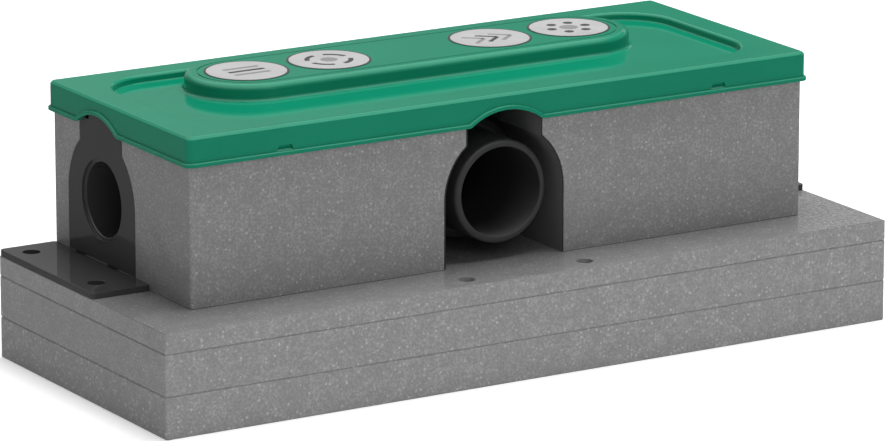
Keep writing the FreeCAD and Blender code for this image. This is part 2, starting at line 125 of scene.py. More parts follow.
def bead_foam_group():
    bead_size = 3.4 * mm
    speck_size = 2.2 * mm
    fleck_size = 1.05 * mm
    fleck_detail = 1.0
    cluster_size = 7.0 * mm
    cluster_detail = 3.0
    uneven_span = (0.3, 0.7)
    cluster_shade = (0.96, 1.03)
    fleck_shade = (0.92, 1.07)
    crowd_span = (0.35, 0.65)
    crowd_share = (0.08, 0.36)
    fine_span = (0.47, 0.72)
    spot_span = (0.4, 0.16)
    shown_span = (0.45, 1.0)
    shown_share = (0.0, 0.8)
    painted_edge_share = 0.8
    painted_edge_span = (0.8, 0.98)
    painted_top_span = (0.15, 0.6)
    dome_span = (0.0, 0.16)
    skin_roughness = (0.05, 0.08)
    first_colour, second_colour, mixed_colour = 6, 7, 2
    tree, given, result = new_group(
        "bead_foam",
        [("Base", "NodeSocketColor"), ("Fleck", "NodeSocketColor"), ("Offset", "NodeSocketVector"),
         ("Skin", "NodeSocketFloat")],
        [("Color", "NodeSocketColor"), ("Roughness", "NodeSocketFloat"), ("Height", "NodeSocketFloat")])
    where = place(tree, "ShaderNodeTexCoord", {}).outputs["Object"]
    moved = {0: where, 1: given.outputs["Offset"]}
    at = place(tree, "ShaderNodeVectorMath", moved, operation="ADD").outputs[0]
    beads = place(tree, "ShaderNodeTexVoronoi", {"Vector": at, "Scale": 1 / bead_size},
                  feature="DISTANCE_TO_EDGE")
    specks = place(tree, "ShaderNodeTexVoronoi", {"Vector": at, "Scale": 1 / speck_size})
    grain = noise(tree, at, fleck_size, fleck_detail)
    cluster = noise(tree, at, cluster_size, cluster_detail)

    # Fine flecks come in clusters, and some of the larger specks stand out.
    crowd = remap(tree, cluster, crowd_span, crowd_share)
    fine = remap(tree, grain, fine_span, (0.0, crowd))
    spot = remap(tree, specks.outputs["Distance"], spot_span, interpolation_type="SMOOTHSTEP")
    lot = place(tree, "ShaderNodeSeparateColor", {"Color": specks.outputs["Color"]}).outputs["Red"]
    bright = combine(tree, "MULTIPLY", spot, remap(tree, lot, shown_span, shown_share))
    mask = combine(tree, "MAXIMUM", fine, bright)
    shade = combine(tree, "MULTIPLY", remap(tree, cluster, uneven_span, cluster_shade),
                    remap(tree, grain, uneven_span, fleck_shade))
    tinted = shaded(tree, given.outputs["Base"], shade)
    colours = {"Factor": mask, first_colour: tinted, second_colour: given.outputs["Fleck"]}
    flecked = place(tree, "ShaderNodeMix", colours, data_type="RGBA").outputs[mixed_colour]

    # What faces up is scaled by the painted top shade: painted shade below 1, painted light above 1.
    # The bevelled top edges get a fixed share less, painted shade that damps their highlight.
    upward = facing(tree, "Z")
    edge = combine(tree, "MULTIPLY", given.outputs["Skin"], painted_edge_share)
    painted_edge_shade = remap(tree, upward, painted_edge_span, (edge, given.outputs["Skin"]))
    surface_look = remap(tree, upward, painted_top_span, (1.0, painted_edge_shade))
    dome = remap(tree, beads.outputs["Distance"], dome_span, interpolation_type="SMOOTHSTEP")
    tree.links.new(shaded(tree, flecked, surface_look), result.inputs["Color"])
    tree.links.new(remap(tree, cluster, unit_span, skin_roughness), result.inputs["Roughness"])
    tree.links.new(dome, result.inputs["Height"])
    return tree


bead_foam = bead_foam_group()


def new_material(name):
    material = bpy.data.materials.new(name)
    material.use_nodes = True
    return material, material.node_tree, material.node_tree.nodes["Principled BSDF"]


def foam_material(name, base, fleck, offset, top_shade):
    bead_relief = 0.1
    bead_depth = 0.2 * mm
    material, tree, shader = new_material(name)
    values = {"Base": base, "Fleck": fleck, "Offset": offset, "Skin": top_shade}
    surface_look = place(tree, "ShaderNodeGroup", values, node_tree=bead_foam)
    bump = place(tree, "ShaderNodeBump",
                 {"Height": surface_look.outputs["Height"], "Strength": bead_relief, "Distance": bead_depth})
    tree.links.new(surface_look.outputs["Color"], shader.inputs["Base Color"])
    tree.links.new(surface_look.outputs["Roughness"], shader.inputs["Roughness"])
    tree.links.new(bump.outputs["Normal"], shader.inputs["Normal"])
    return material


def dress(node, material):
    nodes[node].data.materials.clear()
    nodes[node].data.materials.append(material)


# The plate's upward faces get painted shade, and the spacers' upward faces get painted light.
for index, slab in enumerate(["lower_spacer", "upper_spacer", "base_plate"]):
    top_shade = painted_top_shade if slab == "base_plate" else spacer_painted_top_light
    dress(slab, foam_material(slab, foam_grey, foam_fleck, pattern_step * index, top_shade))

# Foam block: the casing that holds the drain, with a sunken deck and keyhole doorways.
# The same bead foam as the base, moulded in one piece and set on the plate. The narrow step under its rim is
# real;
# its near-black wall is painted shade for the gap where the block meets the plate.
block_grey = (0.23, 0.23, 0.23, 1.0)
block_fleck = (0.42, 0.42, 0.42, 1.0)
block_pattern = (0.0, 0.53, 0.0)
block_seam = 0.2 * mm
seam_shade_grey = (0.05, 0.05, 0.05, 1.0)
seam_shade_fleck = (0.06, 0.06, 0.06, 1.0)
seam_shade_pattern = (0.0, 0.0, 0.0)
seam_top_shade = 1.0
second_slot = 1


def new_piece(name, form, material):
    crease = math.radians(35)
    large_faces_first = 100
    mesh = bpy.data.meshes.new(name)
    form.to_mesh(mesh)
    form.free()
    mesh.shade_smooth()
    mesh.set_sharp_from_angle(angle=crease)
    mesh.materials.append(material)
    piece = bpy.data.objects.new(name, mesh)
    bpy.context.scene.collection.objects.link(piece)
    normals = piece.modifiers.new("normals", "WEIGHTED_NORMAL")
    normals.keep_sharp = True
    normals.weight = large_faces_first
    return piece


def lift_rim(form, height):
    # Steps the rim of the underside up a little. The narrow wall of the step takes the second material,
    # a near-black painted shade for the gap.
    straight_down = -0.99
    depth = height / 2
    wall = depth / 10
    floor_z = min(vertex.co.z for vertex in form.verts)
    under = [face for face in form.faces
             if face.normal.z < straight_down and face.calc_center_median().z < floor_z + depth]
    bmesh.ops.inset_region(form, faces=under, thickness=depth, use_even_offset=True)
    step = bmesh.ops.inset_region(form, faces=under, thickness=wall, use_even_offset=True)
    for face in step["faces"]:
        face.material_index = second_slot
    middle = {vertex for face in under for vertex in face.verts}
    for vertex in form.verts:
        if vertex.co.z < floor_z + depth and vertex not in middle:
            vertex.co.z += height


def softened(node, material, width=0.0, seam=0.0):
    # The node's own form, with its sharp edges rounded off by a width, or its foot stepped up for a seam.
    weld_distance = 0.001 * mm
    flat_angle = math.radians(1.0)
    sharp_angle = math.radians(40.0)
    edge_steps = 2
    round_profile = 0.5
    form = bmesh.new()
    form.from_mesh(nodes[node].data)
    bmesh.ops.remove_doubles(form, verts=form.verts, dist=weld_distance)
    bmesh.ops.dissolve_limit(form, angle_limit=flat_angle, verts=form.verts, edges=form.edges)
    if seam:
        lift_rim(form, seam)
    if width:
        sharp = [edge for edge in form.edges if edge.calc_face_angle(0.0) > sharp_angle]
        bmesh.ops.bevel(form, geom=sharp, offset=width, segments=edge_steps, profile=round_profile,
                        affect="EDGES", clamp_overlap=True)
    piece = new_piece(node + "_form", form, material)
    if seam:
        piece.data.materials.append(seam_shade_foam)
    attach(piece, nodes[node]["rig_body"])
    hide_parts(node)
    return piece


# Near-black foam for the step wall under the block: painted shade in the gap.
seam_shade_foam = foam_material("seam_shade_foam", seam_shade_grey, seam_shade_fleck, seam_shade_pattern, seam_top_shade)
# The block's upward faces get the same painted shade as the plate's.
casing = foam_material("foam_block", block_grey, block_fleck, block_pattern, painted_top_shade)
softened("foam_block", casing, seam=block_seam)

# Channel liner: the black inner skin of the doorways and of the channels behind them.
# Moulded plastic with a fine satin grain, set into the foam. Its end faces that look to the front are darker
# than its walls: painted shade, so that they read as part of the shaded channel.
liner_wall = 0.125
liner_front_painted_shade = 0.02
painted_front_span = (-0.98, -0.9)


def plastic_grain_group():
    grain_size = 0.9 * mm
    grain_detail = 2.0
    cloud_size = 50.0 * mm
    cloud_detail = 3.0
    cloud_shade = (0.9, 1.1)
    cloud_middle = 0.5
    tree, given, result = new_group(
        "plastic_grain",
        [("Base", "NodeSocketColor"), ("Roughness", "NodeSocketFloat"), ("Spread", "NodeSocketFloat")],
        [("Color", "NodeSocketColor"), ("Roughness", "NodeSocketFloat"), ("Height", "NodeSocketFloat")])
    where = place(tree, "ShaderNodeTexCoord", {}).outputs["Object"]
    grain = noise(tree, where, grain_size, grain_detail)
    cloud = noise(tree, where, cloud_size, cloud_detail)
    shade = remap(tree, cloud, unit_span, cloud_shade)
    swing = combine(tree, "SUBTRACT", cloud, cloud_middle)
    rough = combine(tree, "MULTIPLY_ADD", swing, given.outputs["Spread"], given.outputs["Roughness"])
    tree.links.new(shaded(tree, given.outputs["Base"], shade), result.inputs["Color"])
    tree.links.new(rough, result.inputs["Roughness"])
    tree.links.new(grain, result.inputs["Height"])
    return tree


plastic_grain = plastic_grain_group()


def plastic_material(name, roughness, base=None, spread=0.0, grain=0.0):
    # A piece with no base colour of its own gets a shade that changes over it, by paint_shade.
    grain_depth = 0.1 * mm
    material, tree, shader = new_material(name)
    surface_look = place(tree, "ShaderNodeGroup", {}, node_tree=plastic_grain, name="grain")
    tree.links.new(surface_look.outputs["Color"], shader.inputs["Base Color"])
    if base:
        surface_look.inputs["Base"].default_value = base
    if spread:
        surface_look.inputs["Roughness"].default_value = roughness
        surface_look.inputs["Spread"].default_value = spread
        tree.links.new(surface_look.outputs["Roughness"], shader.inputs["Roughness"])
    else:
        shader.inputs["Roughness"].default_value = roughness
    if grain:
        bump = place(tree, "ShaderNodeBump",
                     {"Height": surface_look.outputs["Height"], "Strength": grain, "Distance": grain_depth})
        tree.links.new(bump.outputs["Normal"], shader.inputs["Normal"])
    return material


def paint_shade(material, shade):
    material.node_tree.links.new(shade, material.node_tree.nodes["grain"].inputs["Base"])


liner_black = plastic_material("liner_black", roughness=0.45, spread=0.1, grain=0.1)
# Painted shade: faces that look to the front get the darker liner colour.
frontward = facing(liner_black.node_tree, "Y")
paint_shade(liner_black, remap(liner_black.node_tree, frontward, painted_front_span, (liner_front_painted_shade, liner_wall)))
dress("channel_liner", liner_black)

# Inlet trough, trap pot and rubber rings, which stand in the channel under the lid.
# Black moulded plastic with black rubber seals, pushed together by hand.
trough_black = (0.014, 0.014, 0.014, 1.0)
rubber_black = (0.02, 0.02, 0.02, 1.0)
drain_black = plastic_material("drain_black", roughness=0.4, base=trough_black, spread=0.1, grain=0.1)
seal_rubber = plastic_material("seal_rubber", roughness=0.7, base=rubber_black, spread=0.1, grain=0.3)
for name in ("drain_trough", "trap_pot"):
    dress(name, drain_black)
for name in ("outlet_seal", "pot_seal", "trap_seal"):
    dress(name, seal_rubber)

# Outlet pipe, which points out of the front doorway.
# Black plastic tube with a rounded mouth, pushed into the pot's socket as far as its stop ring.
# Its bore has painted light: paler towards the mouth and the bottom, where light falls in.
pipe_radius = 25.0 * mm
pipe_bore = 21.6 * mm
pipe_lip = 2.0 * mm
pipe_inner_lip = 0.5 * mm
stop_radius = 26.4 * mm
stop_front = -16.0 * mm
stop_back = -14.0 * mm
turn_steps = 96
pipe_low, pipe_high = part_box("outlet_pipe")
pipe_axis_z = (pipe_low.z + pipe_high.z) / 2
pipe_grey = (0.036, 0.036, 0.036, 1.0)
bore_dark = 0.02
bore_painted_light = 0.105
painted_light_depth = 26.0 * mm
painted_light_upper_share = 0.2


def lathe(form, profile, point):
    # A closed profile of (radius, along) pairs turned round an axis; a radius of 0 closes at the axis.
    angles = [math.tau * step / turn_steps for step in range(turn_steps)]
    rings = []
    for radius, along in profile:
        if radius == 0.0:
            rings.append([form.verts.new(point(0.0, 0.0, along))] * turn_steps)
        else:
            circle = [(radius * math.cos(angle), radius * math.sin(angle)) for angle in angles]
            rings.append([form.verts.new(point(a, b, along)) for a, b in circle])
    strips = []
    for ring, after in zip(rings, rings[1:] + rings[:1]):
        if ring[0] is ring[1] and after[0] is after[1]:
            continue
        strip = []
        for index in range(turn_steps):
            beside = (index + 1) % turn_steps
            corners = list(dict.fromkeys([ring[index], ring[beside], after[beside], after[index]]))
            strip.append(form.faces.new(corners))
        strips.append(strip)
    return strips


def quarter_turn(radius, steps=6):
    for step in range(steps + 1):
        angle = math.pi / 2 * step / steps
        yield radius * (1 - math.cos(angle)), radius * math.sin(angle)


def pipe_mesh():
    form = bmesh.new()
    front, back = pipe_low.y, pipe_high.y
    profile = [(pipe_bore, back)]
    for inset, out in quarter_turn(pipe_inner_lip):
        profile.append((pipe_bore + inset, front + pipe_inner_lip - out))
    for inset, out in quarter_turn(pipe_lip):
        profile.append((pipe_radius - pipe_lip + out, front + inset))
    profile += [(pipe_radius, stop_front), (stop_radius, stop_front), (stop_radius, stop_back),
                (pipe_radius, stop_back), (pipe_radius, back)]
    bore = lathe(form, profile, lambda a, b, y: (a, y, pipe_axis_z + b))[0]
    for face in bore:
        face.material_index = second_slot
    bmesh.ops.recalc_face_normals(form, faces=form.faces)
    return form


# Painted light on the bore: paler near the mouth and towards the bottom, dark deeper in.
def painted_bore_gradient(tree):
    where = place(tree, "ShaderNodeTexCoord", {}).outputs["Object"]
    at = place(tree, "ShaderNodeSeparateXYZ", {"Vector": where})
    near_mouth = remap(tree, at.outputs["Y"], (pipe_low.y, pipe_low.y + painted_light_depth), unit_fall)
    near_bottom = remap(tree, at.outputs["Z"], (pipe_axis_z - pipe_bore, pipe_axis_z),
                        (1.0, painted_light_upper_share))
    return remap(tree, combine(tree, "MULTIPLY", near_mouth, near_bottom), unit_span, (bore_dark, bore_painted_light))


pipe_black = plastic_material("pipe_black", roughness=0.4, base=pipe_grey, spread=0.1, grain=0.1)
bore_black = plastic_material("bore_black", roughness=0.4, spread=0.1, grain=0.1)
paint_shade(bore_black, painted_bore_gradient(bore_black.node_tree))
pipe = new_piece("outlet_tube", pipe_mesh(), pipe_black)
pipe.data.materials.append(bore_black)
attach(pipe, "drain")
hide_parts("outlet_pipe")

# Removable trap with its hair sieve.
# Dark grey moulded plastic, lifted out by the knob for cleaning.
cup_grey = (0.1, 0.1, 0.105, 1.0)
trap_grey = plastic_material("trap_grey", roughness=0.35, base=cup_grey, spread=0.1, grain=0.1)
for name in ("trap_cup", "trap_tube", "hair_sieve"):
    dress(name, trap_grey)

# Closing brackets of the left and right doorways.
# Glossy dark grey mouldings: a foot on the ledge, an upright in the doorway and a collar behind it.
bracket_grey = (0.042, 0.042, 0.042, 1.0)
bracket_edge = 0.35 * mm
bracket_gloss = plastic_material("bracket_gloss", roughness=0.07, base=bracket_grey)
for name in ("left_bracket", "right_bracket"):
    softened(name, bracket_gloss, width=bracket_edge)

# Protective lid, clipped over the block, with a sunken pool, a raised plateau and a lip bead that arches
# over the doorways. One thin glossy green moulding with rounded edges,
# held by four clip dents in its long skirts.
lid_colour = (0.003, 0.207, 0.117, 1.0)
lid_wall = 1.5 * mm
lid_round = 1.6 * mm
lid_corner = 3.0 * mm
bead_reach = 1.15 * mm
bead_height = 2.1 * mm
bead_round = 0.35 * mm
bead_bevel = 0.4 * mm
bead_slope = 0.1 * mm
pool_inset = 13.2 * mm
pool_end_inset = 14.4 * mm
pool_depth = 3.8 * mm
pool_corner = 28.0 * mm
lip_start = -0.2 * mm
lip_round = 1.7 * mm
foot_round = 0.7 * mm
plateau_foot = 1.8 * mm
plateau_half_run = 89.8 * mm
plateau_radius = 29.5 * mm
plateau_height = 8.0 * mm
shoulder = 3.0 * mm
groove_outer = 23.8 * mm
groove_inner = 23.0 * mm
groove_depth = 0.6 * mm
groove_flank = 0.05 * mm
arch_rise = 6.6 * mm
arch_half_span = 20.5 * mm
arch_foot = 2.6 * mm
dent_offset = 119.0 * mm
dent_half_base = 4.4 * mm
dent_half_top = 3.3 * mm
dent_slack = 1.01
dent_height = 2.6 * mm
dent_lift = 0.05 * mm
dent_top_depth = 0.9 * mm
dent_deep = 1.3 * mm
dent_ramp = 0.5
dent_bulge = 0.9 * mm
drain_y = 34.5 * mm
lid_low, lid_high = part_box("protective_lid")
lid_half_x = lid_high.x - bead_reach
lid_half_y = (lid_high.y - lid_low.y) / 2 - bead_reach
lid_mid_y = (lid_high.y + lid_low.y) / 2
skirt_bottom = lid_low.z
pool_floor = lid_high.z - plateau_height
lid_top = pool_floor + pool_depth
run_x = lid_half_x - lid_corner
run_y = lid_half_y - lid_corner
arch_steps = 32
corner_steps = 12
round_steps = 6


def mirrored(distances):
    digits = 7
    return sorted({round(side * distance, digits) for distance in distances for side in (-1, 1)})


arch_places = [arch_half_span * step / arch_steps for step in range(arch_steps + 1)]
plain_places = [distance * mm for distance in (26, 34, 46, 60, 75, 90, 105, 130, 140, 152)]
dent_places = [dent_offset - dent_half_base, dent_offset + dent_half_base]
long_places = mirrored(arch_places + plain_places + dent_places + [run_x])
before_arch = [share * run_y for share in (-1.0, -0.75, -0.5, -0.2)]
after_arch = [share * run_y for share in (0.9, 1.0)]
end_places = before_arch + [drain_y - lid_mid_y + along for along in mirrored(arch_places)] + after_arch


def lid_sides():
    # Each station round the lid: which side it is on, and how far along that side.
    for along in long_places:
        yield "front", along
    yield from (("corner_0", step) for step in range(1, corner_steps))
    for along in end_places:
        yield "right", along
    yield from (("corner_1", step) for step in range(1, corner_steps))
    for along in reversed(long_places):
        yield "back", along
    yield from (("corner_2", step) for step in range(1, corner_steps))
    for along in reversed(end_places):
        yield "left", along
    yield from (("corner_3", step) for step in range(1, corner_steps))


stations = list(lid_sides())


def rounded_ring(half_x, half_y, corner):
    flat_x, flat_y = half_x - corner, half_y - corner
    centres = [(flat_x, -flat_y), (flat_x, flat_y), (-flat_x, flat_y), (-flat_x, -flat_y)]
    points = []
    for side, along in stations:
        if side == "front":
            points.append((along / run_x * flat_x, -half_y))
        elif side == "back":
            points.append((along / run_x * flat_x, half_y))
        elif side == "right":
            points.append((half_x, along / run_y * flat_y))
        elif side == "left":
            points.append((-half_x, along / run_y * flat_y))
        else:
            quarter = int(side[-1])
            angle = math.pi / 2 * (quarter - 1 + along / corner_steps)
            x, y = centres[quarter]
            points.append((x + corner * math.cos(angle), y + corner * math.sin(angle)))
    return [(x, y + lid_mid_y) for x, y in points]


def stadium_ring(radius):
    ends = {"right": [], "left": []}
    points = [None] * len(stations)
    for index, (side, along) in enumerate(stations):
        if side in ("front", "back"):
            lean = -1 if side == "front" else 1
            points[index] = (along / run_x * plateau_half_run, drain_y + lean * radius)
        elif side in ("right", "corner_0", "corner_1"):
            ends["right"].append(index)
        else:
            ends["left"].append(index)
    for name, lean in (("right", 1), ("left", -1)):
        for order, index in enumerate(ends[name]):
            angle = math.pi * ((order + 1) / (len(ends[name]) + 1) - 0.5) * lean
            points[index] = (lean * plateau_half_run + lean * radius * math.cos(angle),
                             drain_y + radius * math.sin(angle))
    return points


def arch_lift(offset):
    # Height of a line that runs a given distance above the skirt's arched lower edge.
    reach = (arch_half_span ** 2 + arch_rise ** 2) / (2 * arch_rise)
    turn = math.asin(arch_half_span / reach)
    crown = reach - arch_foot + offset
    crown_z = arch_rise + arch_foot - reach
    foot = max(arch_foot - offset, 0.0)
    heights = []
    for side, along in stations:
        away = abs(along) if side == "front" else abs(along + lid_mid_y - drain_y)
        if side not in ("front", "left", "right") or away >= arch_half_span:
            heights.append(offset)
        elif away <= crown * math.sin(turn):
            heights.append(crown_z + math.sqrt(crown ** 2 - away ** 2))
        else:
            heights.append(arch_foot - math.sqrt(max(foot ** 2 - (arch_half_span - away) ** 2, 0.0)))
    return [skirt_bottom + height for height in heights]


def skirt_ring(spread, heights):
    ring = rounded_ring(lid_half_x + spread, lid_half_y + spread, lid_corner + spread)
    return [Vector((x, y, z)) for (x, y), z in zip(ring, heights)]


def flat_ring(ring, z):
    return [Vector((x, y, z)) for x, y in ring]


def eased_edge(size):
    # A flat bevel with both of its own edges rounded.
    half = size / 2
    turns = [math.pi / 4 * step / round_steps for step in range(round_steps + 1)]
    rise = [(half * (1 - math.cos(angle)), half * math.sin(angle)) for angle in turns]
    return rise + [(size - climb, size - inset) for inset, climb in reversed(rise)]


def dent_row(spread, upper, share):
    # A row of the skirt wall between its foot and its upper line, pulled in over the dents' tops.
    ring = skirt_ring(spread, [low + share * (upper - low) for low in arch_lift(bead_height + dent_lift)])
    inward = dent_half_top - dent_half_base
    for point, (side, along) in zip(ring, stations):
        if side in ("front", "back") and abs(abs(along) - dent_offset) < dent_slack * dent_half_base:
            point.x += inward if point.x * (abs(along) - dent_offset) > 0 else -inward
    return ring


def lid_rings():
    # Rings from the rim of the hollow inside, round the skirt's foot, to the rim of the plateau's middle.
    ceiling, pool_under = lid_top - lid_wall, pool_floor - lid_wall
    wall_top = lid_top - lid_round
    share = dent_height / (wall_top - skirt_bottom - bead_height - dent_lift)
    pool_x, pool_y = lid_half_x - pool_end_inset, lid_half_y - pool_inset
    inner_radius = plateau_radius - lid_wall
    pool_outside = rounded_ring(pool_x + lid_wall, pool_y + lid_wall, pool_corner + lid_wall)
    rings = [flat_ring(stadium_ring(inner_radius - shoulder / 2), lid_high.z - lid_wall),
             flat_ring(stadium_ring(inner_radius), lid_high.z - shoulder),
             flat_ring(stadium_ring(inner_radius), pool_under),
             flat_ring(pool_outside, pool_under),
             flat_ring(pool_outside, ceiling),
             skirt_ring(-lid_wall, [ceiling] * len(stations))]
    inside_dents = len(rings)
    rings.append(dent_row(-lid_wall, wall_top, share))
    rings.append(skirt_ring(-lid_wall, arch_lift(bead_height + dent_lift)))
    rings.append(skirt_ring(-lid_wall, arch_lift(0.0)))
    for climb, out in quarter_turn(bead_round):
        rings.append(skirt_ring(bead_reach - bead_round + out, arch_lift(climb)))
    rings.append(skirt_ring(bead_reach, arch_lift(bead_height - bead_slope - bead_bevel)))
    rings.append(skirt_ring(bead_reach - bead_bevel, arch_lift(bead_height - bead_slope)))
    rings.append(skirt_ring(0.0, arch_lift(bead_height)))
    outside_dents = len(rings)
    rings.append(skirt_ring(0.0, arch_lift(bead_height + dent_lift)))
    rings.append(dent_row(0.0, wall_top, share))
    for inset, climb in eased_edge(lid_round):
        rings.append(skirt_ring(-inset, [wall_top + climb] * len(stations)))
    for drop, inset in quarter_turn(lip_round):
        shift = lip_start - inset
        ring = rounded_ring(pool_x + shift, pool_y + shift, pool_corner + shift)
        rings.append(flat_ring(ring, lid_top - drop))
    for inset, fall in quarter_turn(foot_round):
        shift = lip_start - lip_round - inset
        ring = rounded_ring(pool_x + shift, pool_y + shift, pool_corner + shift)
        rings.append(flat_ring(ring, pool_floor + foot_round - fall))
    for climb, inset in quarter_turn(plateau_foot):
        rings.append(flat_ring(stadium_ring(plateau_radius + plateau_foot - inset), pool_floor + climb))
    for inset, climb in quarter_turn(shoulder):
        rings.append(flat_ring(stadium_ring(plateau_radius - inset), lid_high.z - shoulder + climb))
    for radius, drop in ((groove_outer, 0.0), (groove_outer - groove_flank, groove_depth),
                         (groove_inner + groove_flank, groove_depth), (groove_inner, 0.0)):
        rings.append(flat_ring(stadium_ring(radius), lid_high.z - drop))
    return rings, inside_dents, outside_dents


def dent_columns():
    # Stations at which a dent starts, and the way into the block there.
    columns = {}
    for index, (side, along) in enumerate(stations[:-1]):
        next_side, next_along = stations[index + 1]
        if side in ("front", "back") and next_side == side:
            if abs(abs(along + next_along) / 2 - dent_offset) < dent_half_top / 2:
                columns[index] = Vector((0.0, 1.0 if side == "front" else -1.0, 0.0))
    return columns


def inside_dent(form, corners, inward):
    # Inside, a dent shows as a plain bulge.
    bulge = [form.verts.new(corner.co + inward * dent_bulge) for corner in corners]
    for side in range(len(corners)):
        turn = (side + 1) % len(corners)
        form.faces.new([corners[side], corners[turn], bulge[turn], bulge[side]])
    form.faces.new(bulge)


def outside_dent(form, corners, inward):
    # Outside, a dent deepens downwards and ends in a ramp.
    low_a, low_b, high_b, high_a = corners
    top_a, top_b = (form.verts.new(high.co + inward * dent_top_depth) for high in (high_a, high_b))
    deep_a, deep_b = (form.verts.new(low.co.lerp(high.co, dent_ramp) + inward * dent_deep)
                      for low, high in ((low_a, high_a), (low_b, high_b)))
    form.faces.new([low_a, low_b, deep_b, deep_a])
    form.faces.new([deep_a, deep_b, top_b, top_a])
    form.faces.new([top_a, top_b, high_b, high_a])
    form.faces.new([low_a, deep_a, top_a, high_a])
    form.faces.new([low_b, high_b, top_b, deep_b])


def lid_mesh():
    form = bmesh.new()
    points, inside_dents, outside_dents = lid_rings()
    rings = [[form.verts.new(point) for point in ring] for ring in points]
    dents = dent_columns()
    count = len(stations)
    for row, (ring, after) in enumerate(zip(rings, rings[1:])):
        for index in range(count):
            beside = (index + 1) % count
            corners = [ring[index], ring[beside], after[beside], after[index]]
            if row == inside_dents and index in dents:
                inside_dent(form, corners, dents[index])
            elif row == outside_dents and index in dents:
                outside_dent(form, corners, dents[index])
            else:
                form.faces.new(corners)
    form.faces.new(reversed(rings[0]))
    form.faces.new(rings[-1])
    bmesh.ops.recalc_face_normals(form, faces=form.faces)
    return form


lid_green = plastic_material("lid_green", roughness=0.09, base=lid_colour, spread=0.03)
lid_moulding = new_piece("lid_moulding", lid_mesh(), lid_green)
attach(lid_moulding, "lid")
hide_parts("protective_lid")

# Round labels on the plateau, four in a row with a gap at the middle.
# Pale printed film discs with a dark rim, stuck down; each has a plain figure of its own.
label_radius = 20.3 * mm
label_rim = 1.1 * mm
label_height = 0.24 * mm
ink_height = 0.04 * mm
label_seat = lid_high.z
film_top = label_seat + label_height
field_grey = (0.38, 0.38, 0.38, 1.0)
ink_grey = (0.04, 0.04, 0.04, 1.0)
tone_grey = (0.2, 0.2, 0.2, 1.0)
ink, tone = 1, 2
figure_steps = 24


def label_film_group():
    cloud_size = 12.0 * mm
    cloud_detail = 2.0
    dust_size = 0.6 * mm
    dust_detail = 1.0
    dust_span = (0.1, 0.4)
    film_shade = (0.94, 1.04)
    film_roughness = (0.3, 0.42)
    tree, given, result = new_group(
        "label_film", [("Print", "NodeSocketColor")],
        [("Color", "NodeSocketColor"), ("Roughness", "NodeSocketFloat")])
    where = place(tree, "ShaderNodeTexCoord", {}).outputs["Object"]
    cloud = noise(tree, where, cloud_size, cloud_detail)
    dust = noise(tree, where, dust_size, dust_detail)
    shade = remap(tree, combine(tree, "MULTIPLY", cloud, dust), dust_span, film_shade)
    tree.links.new(shaded(tree, given.outputs["Print"], shade), result.inputs["Color"])
    tree.links.new(remap(tree, cloud, unit_span, film_roughness), result.inputs["Roughness"])
    return tree


label_film = label_film_group()


def print_material(name, colour):
    material, tree, shader = new_material(name)
    film = place(tree, "ShaderNodeGroup", {"Print": colour}, node_tree=label_film)
    tree.links.new(film.outputs["Color"], shader.inputs["Base Color"])
    tree.links.new(film.outputs["Roughness"], shader.inputs["Roughness"])
    return material


label_prints = [print_material("label_field", field_grey),
                print_material("label_ink", ink_grey),
                print_material("label_tone", tone_grey)]


def ink_shape(form, outline, tint):
    # A printed figure: a thin flat plate of ink on the film.
    low, high = [[form.verts.new((x, y, z)) for x, y in outline] for z in (film_top, film_top + ink_height)]
    faces = [form.faces.new(high), form.faces.new(list(reversed(low)))]
    for index in range(len(outline)):
        beside = (index + 1) % len(outline)
        faces.append(form.faces.new([low[index], low[beside], high[beside], high[index]]))
    for face in faces:
        face.material_index = tint


def on_circle(x, y, radius, angle):
    return x + radius * math.cos(angle), y + radius * math.sin(angle)


def bar(x, y, length, width, turn=0.0):
    along = Vector((math.cos(turn), math.sin(turn)))
    across = Vector((-math.sin(turn), math.cos(turn)))
    corners = [(-1, -1), (1, -1), (1, 1), (-1, 1)]
    return [Vector((x, y)) + along * (a * length / 2) + across * (b * width / 2) for a, b in corners]


def arc(x, y, radius, width, start, sweep):
    angles = [start + sweep * step / figure_steps for step in range(figure_steps + 1)]
    outer = [on_circle(x, y, radius + width / 2, angle) for angle in angles]
    inner = [on_circle(x, y, radius - width / 2, angle) for angle in angles]
    return outer + inner[::-1]


def dot(x, y, radius):
    return [on_circle(x, y, radius, math.tau * step / figure_steps) for step in range(figure_steps)]


def three_bars(form, x):
    bar_length = 19.0 * mm
    bar_width = 2.6 * mm
    bar_pitch = 6.0 * mm
    for row in (-1, 0, 1):
        ink_shape(form, bar(x, drain_y + row * bar_pitch, bar_length, bar_width), tone if row else ink)


def four_arcs(form, x):
    arc_count = 4
    arc_radius = 10.5 * mm
    arc_width = 2.4 * mm
    arc_start = 0.25
    arc_sweep = 1.07
    middle_radius = 4.2 * mm
    for turn in range(arc_count):
        start = math.tau * turn / arc_count + arc_start
        ink_shape(form, arc(x, drain_y, arc_radius, arc_width, start, arc_sweep), ink)
    ink_shape(form, dot(x, drain_y, middle_radius), tone)


def three_chevrons(form, x):
    chevron_pitch = 7.5 * mm
    arm_length = 11.0 * mm
    arm_width = 2.2 * mm
    arm_offset = 3.6 * mm
    arm_turn = math.radians(40)
    for step in (-1, 0, 1):
        for lean in (-1, 1):
            arm_x, arm_y = x + step * chevron_pitch, drain_y - lean * arm_offset
            arm = bar(arm_x, arm_y, arm_length, arm_width, lean * arm_turn)
            ink_shape(form, arm, tone if step else ink)


def ring_of_dots(form, x):
    dot_count = 6
    dot_radius = 2.4 * mm
    ring_radius = 9.5 * mm
    middle_radius = 4.6 * mm
    for turn in range(dot_count):
        dot_x, dot_y = on_circle(x, drain_y, ring_radius, math.tau * turn / dot_count)
        ink_shape(form, dot(dot_x, dot_y, dot_radius), ink)
    ink_shape(form, dot(x, drain_y, middle_radius), tone)


